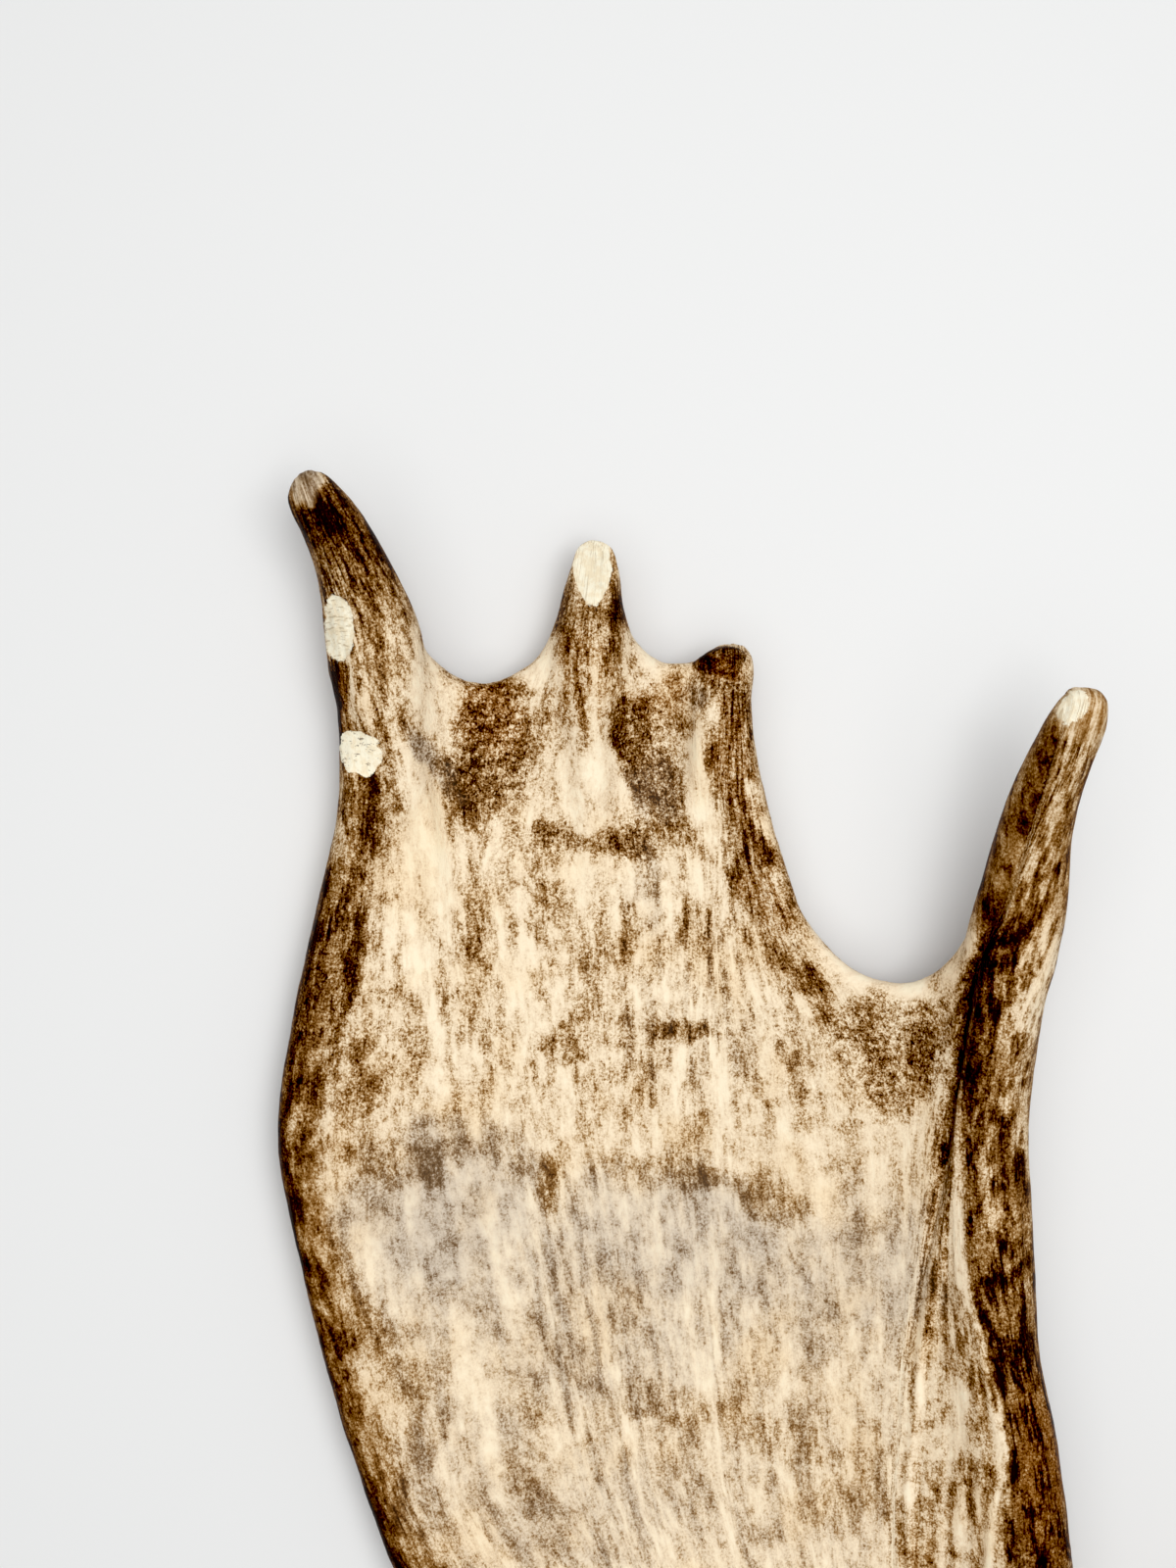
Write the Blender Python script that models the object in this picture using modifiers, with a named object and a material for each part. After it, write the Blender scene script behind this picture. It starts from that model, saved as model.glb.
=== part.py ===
"""Moose antler, one shed side, lying on its convex back.

Frame: +Y runs from the burr to the points, +X to the front (brow) side, +Z up out of the dish.
Every branch is a tapered round digit, the blade between them is a bent plate, and the lot is grown
together into one bone, then split at the main forks.
"""
import bpy
import bmesh
import math
from mathutils import Vector, Matrix

MM = 0.001

# ---------------------------------------------------------------- driving dimensions (millimetres)
PLATE_THICKNESS = 11.0        # blade between the ribs
NECK_THICKNESS = 36.0         # blade where it runs into the beam
BAY_THICKNESS = 8.0           # blade at the bays between the points
BURR_RADIUS = 31.0            # ring of the burr, to the middle of its pearls
BURR_PEARL = 8.0
BURR_PEARLS = 15
DISH_REAR = 0.00145           # rise of the blade per mm squared, to the rear side of the belly line
DISH_FRONT = 0.00215          # the same, to the front side
FORK_GAP = 0.3                # gap left between two nodes at a fork
VOXEL = 2.6
TRIANGLES = 8200
FLOOR_CUT = 1.0               # how much of the belly and the burr is worn flat to rest on

# belly line, the lowest line of the dish: (y, x, z of the middle of the blade)
BELLY = [(-40, 6, 40), (60, 2, 37), (140, -20, 27), (220, -48, 15), (300, -74, 7.5), (380, -88, 6),
         (460, -98, 8.5), (540, -104, 15), (620, -108, 25), (700, -110, 38)]

# every digit: (x, y, lift above the dish, radius), from its root outwards
REAR_RIM = [(10, 60, 0, 22), (-14, 98, 0, 19), (-44, 136, 0, 15), (-82, 176, 0, 11.5), (-123.5, 217.5, 0, 10),
            (-165.5, 268, 0, 9), (-184, 310, 0, 8), (-197, 350, 0, 7.5), (-207, 396, 0, 8), (-212, 432, 0, 9),
            (-208, 466, 0, 9.5), (-198, 510, 0, 10), (-189, 548, 1, 10.5), (-184, 585, 1, 13.5)]
REAR_TINE = [(-176, 548, 1, 11), (-179.5, 580, 2, 15.5), (-184.5, 606, 3, 17.2), (-189, 625, 4, 15.4),
             (-194, 640, 6, 13), (-199.5, 651, 8, 11.3), (-204.5, 659, 10, 10), (-206.8, 664.5, 11, 7.5),
             (-207.6, 667.5, 11.5, 4)]
REAR_RIB = [(-177, 590, 1, 13), (-169, 545, 1, 9), (-163, 495, 0.5, 7), (-158, 440, 0, 5)]
MIDDLE_TINE = [(-106, 500, 0, 5), (-106.5, 540, 0.5, 7.5), (-107.5, 572, 1, 11), (-108, 594, 1.5, 15.5), (-106.6, 610, 1.5, 15.2),
               (-106, 624, 2, 11.6), (-105.2, 635, 2.5, 9.6), (-105, 642, 3, 7.5), (-104.5, 646, 3, 4)]
SHORT_POINT = [(-74, 500, 0, 5), (-69, 545, 0.5, 7), (-62.5, 580, 1, 9.5), (-57.5, 597, 1, 10.3),
               (-57, 604, 1.5, 9.5), (-58, 609, 2, 6)]
FRONT_RIM = [(8, -2, 0, 25), (8, 30, 0, 24.5), (10, 70, 0, 25), (16, 110, 0, 26), (27, 155, 0, 26),
             (39, 200, 0, 24), (47, 240, 0, 20), (47.5, 280, 0, 18), (43.5, 320, 0, 16.5), (38, 356, 0, 15.5),
             (35, 400, 0, 15.5), (33.5, 440, 0, 15.3), (36, 475, 0, 16.5), (40, 500, 2, 16.6), (43, 520, 5, 15),
             (45.6, 541, 8, 12.7), (49.8, 560, 11, 11.5), (54.6, 574, 13, 10.8), (58.5, 583, 14, 9.6),
             (60, 588, 14.5, 7), (60.5, 590.5, 15, 4)]
FRONT_RIB = [(30, 490, -1, 13), (19, 455, -1, 8.5), (12, 410, 0, 6.5), (7, 360, 0, 6), (2, 300, 0, 6)]
BROW_TINE = [(38, 185, -4, 24), (62, 199, -17, 21), (85, 212, -34, 17.5), (105, 224, -47.5, 15), (123, 236, -55, 12.5),
             (137, 248, -52, 10.5), (147, 259, -44, 8.5), (153, 267, -36, 6), (155, 271, -32, 3)]
REAR_BAY = [(-184, 612, 1, 8), (-172, 603, 1, 6), (-160, 594, 0, 5), (-147, 590, 0, 4.8), (-135, 592.5, 0, 5.2),
            (-124, 598.5, 0.5, 6), (-113, 612, 1, 7.5)]
MIDDLE_BAY = [(-102, 614, 1, 7.5), (-92, 604, 0.5, 6), (-83, 597.5, 0, 4.8), (-73, 597, 0, 5), (-62, 599, 0.5, 6.5)]
FRONT_BAY = [(-57, 596, 0, 8.6), (-55, 572, 0, 8), (-49.5, 548, 0, 7.5), (-42.3, 524.5, 0, 7), (-32.3, 504.5, 0, 6),
             (-16, 488, 0, 5.5), (0, 481.5, 0, 5.5), (13, 483, 0, 6), (25, 491, 0.5, 7), (36, 508, 2, 9)]
BROW_BAY = [(47, 272, -2, 16), (53, 245, -9, 17), (63, 227, -18, 16.5), (76, 217, -29, 15)]
BEAM = [(8, 80, 0, 27), (8, 40, 0, 25), (8, 5, 0, 25.5), (8, -4, 0, 29), (8, -8, 0, 27),
        (8, -12, 0, 22), (8, -14.5, 0, 12)]

# forks: a point on the cut (x, y), the direction the branch leaves in (x, y, z), reach and width of the branch
FORKS = {
    "rear_tine": ((-183.5, 600), (-0.20, 0.97, 0.10), 100, 80),
    "middle_tine": ((-107.5, 606), (0.02, 0.99, 0.10), 80, 60),
    "front_tine": ((39, 503), (0.20, 0.92, 0.33), 140, 90),
    "brow_tine": ((98, 219), (0.80, 0.50, 0.33), 120, 80),
    "beam": ((8, 118), (0.10, -0.99, 0.08), 200, 200),
}

COLOUR = {
    "palm": (0.72, 0.59, 0.41), "rear_tine": (0.30, 0.17, 0.08), "middle_tine": (0.62, 0.46, 0.29),
    "front_tine": (0.36, 0.22, 0.11), "brow_tine": (0.40, 0.26, 0.14), "beam": (0.44, 0.29, 0.16),
}


# ---------------------------------------------------------------- small helpers
def clear_scene():
    for ob in list(bpy.data.objects):
        bpy.data.objects.remove(ob, do_unlink=True)


def along(table, y):
    """Smooth value of a (y, a, b) line at y."""
    if y <= table[0][0]:
        return table[0][1:]
    for (y0, *a), (y1, *b) in zip(table, table[1:]):
        if y <= y1:
            t = (y - y0) / (y1 - y0)
            return [p + (q - p) * t for p, q in zip(a, b)]
    return table[-1][1:]


def belly(y):
    """The belly line, rounded off over 60 mm so that it has no corners."""
    out = [0.0, 0.0]
    for k in range(-3, 4):
        a = along(BELLY, y + k * 10.0)
        out = [o + v / 7.0 for o, v in zip(out, a)]
    return out


def dish(x, y):
    """Height of the middle of the blade."""
    bx, bz = belly(y)
    d = x - bx
    rise = (DISH_REAR if d < 0 else DISH_FRONT) * d * d
    limit = 60.0
    if rise > limit:                      # past the rims the dish runs on as a straight slope
        rise = limit + (rise - limit) * 0.6
    return bz + rise


def smooth_line(points, step=4.0):
    """Catmull-Rom line through the stations."""
    pts = [Vector(p) for p in points]
    pts = [pts[0] * 2 - pts[1]] + pts + [pts[-1] * 2 - pts[-2]]
    out = []
    for a, b, c, d in zip(pts, pts[1:], pts[2:], pts[3:]):
        n = max(2, int((c.xyz - b.xyz).length / step))
        for k in range(n):
            t = k / n
            out.append(0.5 * ((2 * b) + (c - a) * t + (2 * a - 5 * b + 4 * c - d) * t * t
                              + (3 * b - a - 3 * c + d) * t ** 3))
    out.append(pts[-2].copy())
    return out


def digit(name, stations):
    """A round tapered branch along its stations, as a closed mesh."""
    curve = bpy.data.curves.new(name, "CURVE")
    curve.dimensions = "3D"
    curve.bevel_depth = MM
    curve.bevel_resolution = 6
    curve.use_fill_caps = True
    line = smooth_line([(x, y, dish(x, y) + lift, r) for x, y, lift, r in stations])
    spline = curve.splines.new("POLY")
    spline.points.add(len(line) - 1)
    for point, p in zip(spline.points, line):
        point.co = (p[0] * MM, p[1] * MM, p[2] * MM, 1.0)
        point.radius = p[3]
    ob = bpy.data.objects.new(name, curve)
    bpy.context.scene.collection.objects.link(ob)
    mesh = bpy.data.meshes.new_from_object(ob.evaluated_get(bpy.context.evaluated_depsgraph_get()))
    bpy.data.objects.remove(ob, do_unlink=True)
    return add_object(name, mesh)


def add_object(name, mesh):
    ob = bpy.data.objects.new(name, mesh)
    bpy.context.scene.collection.objects.link(ob)
    return ob


def applied(ob):
    """The object with its modifiers turned into mesh."""
    bpy.context.view_layer.update()
    mesh = bpy.data.meshes.new_from_object(ob.evaluated_get(bpy.context.evaluated_depsgraph_get()))
    name = ob.name
    bpy.data.objects.remove(ob, do_unlink=True)
    return add_object(name, mesh)


def remesh(ob, voxel):
    m = ob.modifiers.new("grow", "REMESH")
    m.mode = "VOXEL"
    m.voxel_size = voxel * MM
    m.adaptivity = 0.0


def soften(ob, factor, times):
    m = ob.modifiers.new("soften", "SMOOTH")
    m.factor = factor
    m.iterations = times


def swell(x, y, lines):
    """How much the blade thickens beside a rim or a rib, so that it runs into them without a crease."""
    best = 0.0
    for line in lines:
        px, py, pr = min(line, key=lambda p: (p[0] - x) ** 2 + (p[1] - y) ** 2)
        d2 = (px - x) ** 2 + (py - y) ** 2
        best = max(best, (pr - 0.5 * PLATE_THICKNESS - 1.0) * math.exp(-d2 / (1.35 * pr) ** 2))
    return best


def plate():
    """The blade: its outline runs down the middle of the rims and bays, then it is bent to the dish."""
    line = []
    for run in (REAR_RIM, [REAR_TINE[2]], REAR_BAY, [MIDDLE_TINE[4]], MIDDLE_BAY, FRONT_BAY,
                FRONT_RIM[13:4:-1], [(12, 60, 0, 0)]):
        line += [(x, y) for x, y, lift, r in run]
    bm = bmesh.new()
    face = bm.faces.new([bm.verts.new((x * MM, y * MM, -0.5 * MM * PLATE_THICKNESS)) for x, y in line])
    if face.normal.z > 0:
        face.normal_flip()
    top = bmesh.ops.extrude_face_region(bm, geom=[face])
    for v in (g for g in top["geom"] if isinstance(g, bmesh.types.BMVert)):
        v.co.z = 0.5 * MM * PLATE_THICKNESS
    bmesh.ops.recalc_face_normals(bm, faces=bm.faces)
    mesh = bpy.data.meshes.new("plate")
    bm.to_mesh(mesh)
    bm.free()
    ob = add_object("plate", mesh)
    remesh(ob, 3.0)
    ob = applied(ob)
    lines = [[(p[0], p[1], p[3]) for p in smooth_line(run)]
             for run in (REAR_RIM, REAR_TINE, REAR_RIB, MIDDLE_TINE, SHORT_POINT, FRONT_BAY, FRONT_RIM)]
    for v in ob.data.vertices:
        x, y, z = v.co / MM
        neck = min(1.0, max(0.0, (270.0 - y) / 170.0))
        bay = min(1.0, max(0.0, (y - 470.0) / 130.0))
        t = PLATE_THICKNESS + (NECK_THICKNESS - PLATE_THICKNESS) * neck ** 1.7
        t += (BAY_THICKNESS - PLATE_THICKNESS) * bay + 2.0 * (1.0 - neck) * swell(x, y, lines)
        v.co.z = (dish(x, y) + z * t / PLATE_THICKNESS) * MM
    return ob


def pearls():
    """The knobbly ring of the burr."""
    out = []
    x0, y0 = 8.0, 4.0
    z0 = dish(x0, y0)
    for k in range(BURR_PEARLS):
        a = 2 * math.pi * (k + 0.23 * math.sin(5.0 * k)) / BURR_PEARLS
        r = BURR_PEARL * (1.0 + 0.16 * math.sin(7.3 * k + 1.0))
        bm = bmesh.new()
        bmesh.ops.create_icosphere(bm, subdivisions=3, radius=r * MM)
        centre = Vector((x0 + BURR_RADIUS * math.cos(a), y0 + 1.5 * math.sin(3.1 * k), z0 + BURR_RADIUS * math.sin(a)))
        bmesh.ops.translate(bm, verts=bm.verts, vec=centre * MM)
        mesh = bpy.data.meshes.new("pearl")
        bm.to_mesh(mesh)
        bm.free()
        out.append(add_object("pearl", mesh))
    bm = bmesh.new()
    bmesh.ops.create_cone(bm, cap_ends=True, segments=48, radius1=(BURR_RADIUS + 2) * MM,
                          radius2=(BURR_RADIUS + 2) * MM, depth=11 * MM,
                          matrix=Matrix.Translation(Vector((x0, y0, z0)) * MM) @ Matrix.Rotation(math.pi / 2, 4, "X"))
    mesh = bpy.data.meshes.new("ring")
    bm.to_mesh(mesh)
    bm.free()
    out.append(add_object("ring", mesh))
    return out


def join(name, obs):
    bm = bmesh.new()
    for ob in obs:
        bm.from_mesh(ob.data)
        bpy.data.objects.remove(ob, do_unlink=True)
    mesh = bpy.data.meshes.new(name)
    bm.to_mesh(mesh)
    bm.free()
    return add_object(name, mesh)


def cut(bm, point, normal, keep_positive):
    """Keep one side of a plane and close the cut."""
    geom = list(bm.verts) + list(bm.edges) + list(bm.faces)
    bmesh.ops.bisect_plane(bm, geom=geom, dist=1e-6, plane_co=point, plane_no=normal,
                           clear_inner=keep_positive, clear_outer=not keep_positive)
    rim = [e for e in bm.edges if e.is_boundary]
    bmesh.ops.holes_fill(bm, edges=rim, sides=0)


def tidy(bm):
    bmesh.ops.remove_doubles(bm, verts=bm.verts, dist=0.00005)
    bmesh.ops.triangulate(bm, faces=[f for f in bm.faces if len(f.verts) > 3])
    bmesh.ops.recalc_face_normals(bm, faces=bm.faces)


def material(name, colour):
    mat = bpy.data.materials.new(name)
    mat.use_nodes = True
    bsdf = mat.node_tree.nodes["Principled BSDF"]
    bsdf.inputs["Base Color"].default_value = (*colour, 1.0)
    bsdf.inputs["Roughness"].default_value = 0.45
    bsdf.inputs["Metallic"].default_value = 0.0
    return mat


# ---------------------------------------------------------------- build
clear_scene()
pieces = [plate()]
for label, stations in (("rear_rim", REAR_RIM), ("rear_tine", REAR_TINE), ("rear_rib", REAR_RIB),
                        ("middle_tine", MIDDLE_TINE), ("short_point", SHORT_POINT), ("front_rim", FRONT_RIM),
                        ("front_rib", FRONT_RIB), ("brow_tine", BROW_TINE), ("rear_bay", REAR_BAY),
                        ("middle_bay", MIDDLE_BAY), ("front_bay", FRONT_BAY), ("brow_bay", BROW_BAY),
                        ("beam", BEAM)):
    pieces.append(digit(label, stations))
pieces += pearls()
bone = join("bone", pieces)
remesh(bone, VOXEL)
soften(bone, 0.5, 10)
bone = applied(bone)
count = sum(len(p.vertices) - 2 for p in bone.data.polygons)
m = bone.modifiers.new("facet", "DECIMATE")
m.ratio = TRIANGLES / count
m.use_collapse_triangulate = True
bone = applied(bone)

whole = bmesh.new()
whole.from_mesh(bone.data)
bpy.data.objects.remove(bone, do_unlink=True)

# worn flats to rest on
lowest = min(v.co.z for v in whole.verts)
cut(whole, Vector((0, 0, lowest + FLOOR_CUT * MM)), Vector((0, 0, 1)), True)
tidy(whole)

# origin: middle of the box, at the floor
low = Vector([min(v.co[k] for v in whole.verts) for k in range(3)])
high = Vector([max(v.co[k] for v in whole.verts) for k in range(3)])
origin = Vector(((low.x + high.x) / 2, (low.y + high.y) / 2, low.z))


def fork_box(bm, point, direction, reach, width, shift, operation):
    """The bone inside or outside a box that starts at a fork and reaches around its branch."""
    normal = Vector(direction).normalized()
    side = normal.cross(Vector((0, 0, 1))).normalized()
    frame = Matrix((side, normal, side.cross(normal))).transposed().to_4x4()
    frame.translation = Vector((point[0], point[1], dish(*point))) * MM + normal * (shift + reach * 0.5) * MM
    box = bmesh.new()
    bmesh.ops.create_cube(box, size=MM, matrix=frame @ Matrix.Diagonal((width, reach, 300.0, 1.0)))
    mesh = bpy.data.meshes.new("box")
    box.to_mesh(mesh)
    box.free()
    tool = add_object("cutter", mesh)
    mesh = bpy.data.meshes.new("bone")
    bm.to_mesh(mesh)
    ob = add_object("bone", mesh)
    fork = ob.modifiers.new("fork", "BOOLEAN")
    fork.operation = operation
    fork.solver = "EXACT"
    fork.object = tool
    ob = applied(ob)
    bpy.data.objects.remove(tool, do_unlink=True)
    out = bmesh.new()
    out.from_mesh(ob.data)
    bpy.data.objects.remove(ob, do_unlink=True)
    tidy(out)
    return out


made = {}
rest = whole
for label, (point, direction, reach, width) in FORKS.items():
    made[label] = fork_box(whole, point, direction, reach, width, 0.5 * FORK_GAP, "INTERSECT")
    rest = fork_box(rest, point, direction, reach, width, -0.5 * FORK_GAP, "DIFFERENCE")
made["palm"] = rest

for label, bm in made.items():
    bmesh.ops.translate(bm, verts=bm.verts, vec=-origin)
    mesh = bpy.data.meshes.new(label)
    bm.to_mesh(mesh)
    bm.free()
    ob = add_object(label, mesh)
    ob.data.materials.append(material(label, COLOUR[label]))
    for poly in ob.data.polygons:
        poly.use_smooth = False
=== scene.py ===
"""Looks of the moose antler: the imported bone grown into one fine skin, carved with its ribs, folds, breaks
and scars, split again into the CAD's pieces, and stained by a procedural bone material that follows the
grain."""
import math
import bpy
import bmesh
import numpy as np
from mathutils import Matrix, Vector


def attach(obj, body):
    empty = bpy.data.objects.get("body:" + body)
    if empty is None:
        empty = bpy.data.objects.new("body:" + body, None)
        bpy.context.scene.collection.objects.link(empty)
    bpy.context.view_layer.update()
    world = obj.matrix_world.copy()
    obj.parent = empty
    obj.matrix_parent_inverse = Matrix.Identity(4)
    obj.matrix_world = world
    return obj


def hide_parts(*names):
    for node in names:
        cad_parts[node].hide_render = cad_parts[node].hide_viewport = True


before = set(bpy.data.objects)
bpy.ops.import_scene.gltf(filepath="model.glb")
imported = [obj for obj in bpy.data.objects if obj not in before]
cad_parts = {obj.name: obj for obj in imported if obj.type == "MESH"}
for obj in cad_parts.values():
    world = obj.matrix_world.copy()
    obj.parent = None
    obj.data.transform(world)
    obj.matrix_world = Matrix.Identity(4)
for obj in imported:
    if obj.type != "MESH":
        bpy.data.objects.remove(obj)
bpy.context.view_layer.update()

# ---------------------------------------------------------------- constants (millimetres)
MM = 0.001
VOXEL = 1.3                          # size of the skin's cells
OVERLAP = 0.35                       # each CAD piece swells by this before the pieces grow together
FAIRING = 60                         # rounds of smoothing, enough to lose the CAD's facets
SHRINK, GROW = 0.62, -0.635          # the two passes of a round: the second undoes the first's shrinking
LATTICE = 32                         # cells of seeded noise before it repeats
OUTSIDE = -20.0                      # stands for well outside every scar and flat
BRANCH_ROOM = 4.0                    # how far a branch's skin may lie outside its CAD node's box
SOFT_EDGE = 0.62                     # share of a stain's radius over which it fades
EDGE_WOBBLE = 4.0                    # how ragged the outlines of stains and tints are
STAIN_SPREAD, TINT_SPREAD = 1.15, 1.1    # how much wider they are than their tables say
# the middle of the burr in the CAD's frame; all the places below are (x, y) from it
PLAN_ORIGIN = np.array([31.5, -326.7])

# grain lines from the burr to the points; the number is the line's place across the antler
REAR_EDGE = [(-17, 0), (-17, 40), (-25, 89), (-48, 123), (-80, 159), (-115, 197), (-147, 236), (-178, 280),
             (-204, 344), (-216, 396), (-221, 433), (-217, 466), (-207, 515), (-200, 560), (-200, 600),
             (-206, 632), (-216, 668)]
FRONT_EDGE = [(34, 0), (34, 60), (44, 121), (60, 190), (66, 240), (63, 295), (58, 323), (53, 356),
              (50, 400), (49, 440), (53, 475), (57, 511), (60, 550), (68, 588)]
GROOVE = [(14, 0), (14, 100), (8, 200), (3, 300), (7, 350), (9, 362), (13.5, 392), (17, 416), (18.5, 432),
          (19.8, 450), (22.5, 471), (26, 495), (36, 525), (46, 560), (54, 588)]
RIM_EDGE = [(24, 0), (24, 100), (34, 200), (39, 285), (40, 325), (36.5, 345), (32, 362), (27, 380),
            (24.5, 395), (23.5, 410), (23, 432), (23.2, 450), (28, 500), (33.5, 512), (42, 532), (52, 560),
            (60, 588)]
BAY_EDGE = [(8, 0), (8, 60), (2, 140), (2, 300), (6, 380), (5, 430), (-1, 455), (-10, 474), (-22, 491),
            (-33, 508), (-43, 530), (-49, 560), (-51, 600)]
GRAIN = [
    (REAR_EDGE, 0),
    ([(-6, 0), (-8, 60), (-44, 140), (-120, 240), (-150, 300), (-166, 430), (-168, 520), (-173, 560),
      (-180, 590), (-187, 615), (-196, 640), (-207, 668)], 40),
    ([(-2, 0), (-2, 60), (-26, 140), (-91, 240), (-116, 300), (-141, 430), (-149, 500), (-153, 535),
      (-156, 560), (-161, 590), (-169, 612), (-177, 630), (-188, 650), (-200, 668)], 60),
    ([(0, 0), (0, 60), (-24, 140), (-84, 240), (-106, 300), (-131, 430), (-140, 500), (-145, 530),
      (-141, 555), (-133, 580), (-122, 612), (-116, 630), (-112, 650)], 72),
    ([(2, 0), (4, 60), (-14, 140), (-65, 240), (-84, 300), (-102, 430), (-106, 520), (-108, 600),
      (-105, 650)], 104),
    ([(5, 0), (6, 60), (-6, 140), (-45, 240), (-61, 300), (-75, 430), (-74, 500), (-75, 525), (-80, 550),
      (-87, 575), (-92, 600), (-96, 630), (-98, 650)], 130),
    ([(5, 0), (7, 60), (-4, 140), (-41, 240), (-56, 300), (-68, 430), (-68, 500), (-69, 525), (-71, 560),
      (-74, 590), (-72, 610)], 140),
    ([(6, 0), (8, 60), (0, 140), (-25, 240), (-38, 300), (-54, 430), (-60, 500), (-61, 560),
      (-58, 610)], 158),
    (BAY_EDGE, 202),
    ([(9, 0), (9, 60), (4, 140), (3, 300), (8, 380), (10, 430), (14, 460), (20, 484), (34, 510), (44, 550),
      (52, 588)], 210),
    (GROOVE, 230),
    (RIM_EDGE, 248),
    (FRONT_EDGE, 270),
]

# ribs (raised) and hollows (sunken) of the dish: (x, y, half width, half length, turn, height)
RELIEF = [
    (-146, 563, 27, 46, 8, -2.4), (-85, 562, 17, 42, -12, -2.4), (6, 455, 21, 30, 0, -1.8),
    (-107, 566, 10, 56, 0, 1.0), (-64, 566, 8, 46, 4, 1.1), (-170, 556, 9, 60, 12, 0.9),
    (-118, 470, 16, 120, 0, 0.5), (-90, 430, 12, 120, 0, -0.5), (-40, 450, 12, 90, 14, 0.7),
]

# small moves of the outline: (x, y, reach, dx, dy)
NUDGES = [
    (-142, 594, 22, 0, 2.0), (-75, 601, 13, 0, 1.3), (-46, 525, 26, 1.6, 0), (-106, 641, 9, 0, 1.4),
    (-197, 588, 16, -1.6, 0), (-172, 622, 17, 1.4, 0), (59, 513, 18, 1.3, 0), (67, 593, 7, -1.4, -0.6),
    (-3, 488, 18, 0, 1.0), (-203, 672, 9, 0, 0.8),
]

# the gnawed and rubbed places: (x, y, half width, half length, turn, depth)
SCARS = {
    "gnawed": (-196.3, 613.5, 5.8, 12.4, 5, 0.9),
    "rubbed": (-188.2, 570.0, 7.6, 8.6, 10, 0.5),
}
# the flats of broken and worn ends: (x, y) of a place on the skin, the way the flat faces, how far from
# the place it reaches, and how far the bare bone goes past it. The middle one starts at its place; the
# front one is cut FRONT_DEPTH below the outermost place near it.
FLATS = {
    "middle": ((-106.2, 624.5), (0.02, 0.42, 0.91), 27.0, 1.0),
    "front": ((60.0, 583.0), (-0.50, 0.30, 0.81), 13.0, 0.8),
}
FRONT_DEPTH = 0.7
# the outline of the middle point's break: (half width, y)
TEARDROP = [(0.3, 619), (2.4, 623), (4.8, 628), (6.4, 632), (7.0, 637), (6.2, 641), (6.2, 650)]
# the dark cap on the short point, like half a bean: (x, y, half width, half length, turn)
CAP = (-60.5, 602.8, 10.5, 5.6, 14)
# the worn ends of the two long points
REAR_TIP, FRONT_TIP = (-208, 665), (58, 584)

# stains: (x, y, half width, half length, turn, how much darker)
STAINS = [
    # webs between the points
    (-142, 577, 17, 22, 0, 0.30), (-151, 552, 11, 20, 8, 0.30),
    (-94, 580, 11, 13, 20, 0.26), (-82, 558, 11, 22, 14, 0.32), (-75, 536, 14, 9, 0, 0.28),
    (2, 459, 20, 21, 0, 0.24), (-14, 475, 12, 13, 30, 0.16), (19, 475, 9, 24, -8, 0.14),
    # points
    (-198, 586, 7, 20, 0, 0.46), (-206, 650, 13, 15, 20, 0.22), (-188, 644, 9, 16, 30, 0.16),
    (-113, 596, 11, 18, 0, 0.20), (-106, 614, 17, 16, 0, 0.20), (-119, 609, 5, 18, 16, 0.20),
    (-67, 595, 6, 11, 0, 0.14), (-62, 604, 12, 6, -10, 0.34), (40, 538, 6, 51, -14, 0.08),
    (-52, 584, 4, 22, 0, 0.18),
    # along the bays
    (-57, 562, 7, 38, 4, 0.30), (-48, 521, 8, 28, 20, 0.32), (-31, 489, 8, 23, 40, 0.30),
    (-142, 593, 26, 3, 0, 0.18),
    # rims
    (-200, 505, 12, 36, -8, 0.30), (-206, 462, 12, 30, 0, 0.16), (-188, 552, 11, 18, 0, 0.24),
    (-190, 536, 6, 8, 0, 0.24),
    # bars and spots on the blade
    (-112, 540, 24, 6, 0, 0.25), (-92, 541, 13, 5, 0, 0.24), (-93, 506, 6, 12, 0, 0.26),
    (-68, 506, 8, 12, 0, 0.24), (-128, 520, 7, 21, 0, 0.10), (-151, 513, 9, 21, 0, 0.12),
    (-75, 465, 17, 6, 0, 0.38), (-115, 463, 8, 11, 0, 0.30), (-88, 455, 9, 9, 0, 0.12),
    (-174, 471, 9, 21, 0, 0.12), (-124, 414, 5, 12, 0, 0.30), (-162, 420, 42, 8, 0, 0.17),
    (-76, 416, 44, 8, -6, 0.20), (-36, 407, 21, 7, -16, 0.14), (-186, 436, 14, 46, 4, 0.16),
    (-178, 340, 12, 60, 22, 0.12), (-195, 470, 10, 60, -4, 0.12), (-181, 584, 12, 26, 0, 0.13),
    (-81, 588, 15, 14, 0, 0.20), (-92, 566, 5, 24, 27, 0.24), (-164, 567, 5, 30, 33, 0.20),
    (-54, 592, 10, 18, 0, 0.24), (-119, 618, 7, 16, 14, 0.12), (-95, 618, 6, 16, -14, 0.14),
    (-183, 558, 8, 34, 4, 0.16), (-98, 603, 8, 9, 0, 0.14), (-72, 582, 9, 12, 0, 0.12),
    (-188, 358, 8, 20, 22, 0.18), (10, 325, 5, 30, 0, 0.10), (-72, 330, 32, 8, -8, 0.15),
    (-36, 318, 25, 9, -10, 0.12), (-128, 314, 9, 29, 0, 0.10), (-15, 301, 18, 21, 0, 0.10),
    # pale ribs
    (-98, 562, 18, 14, 0, -0.16), (-67, 556, 6, 25, 4, -0.20), (-168, 522, 11, 50, 0, -0.16),
    (-3, 484, 21, 6, 0, -0.18), (-171, 597, 14, 14, 20, -0.12),
]
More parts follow.
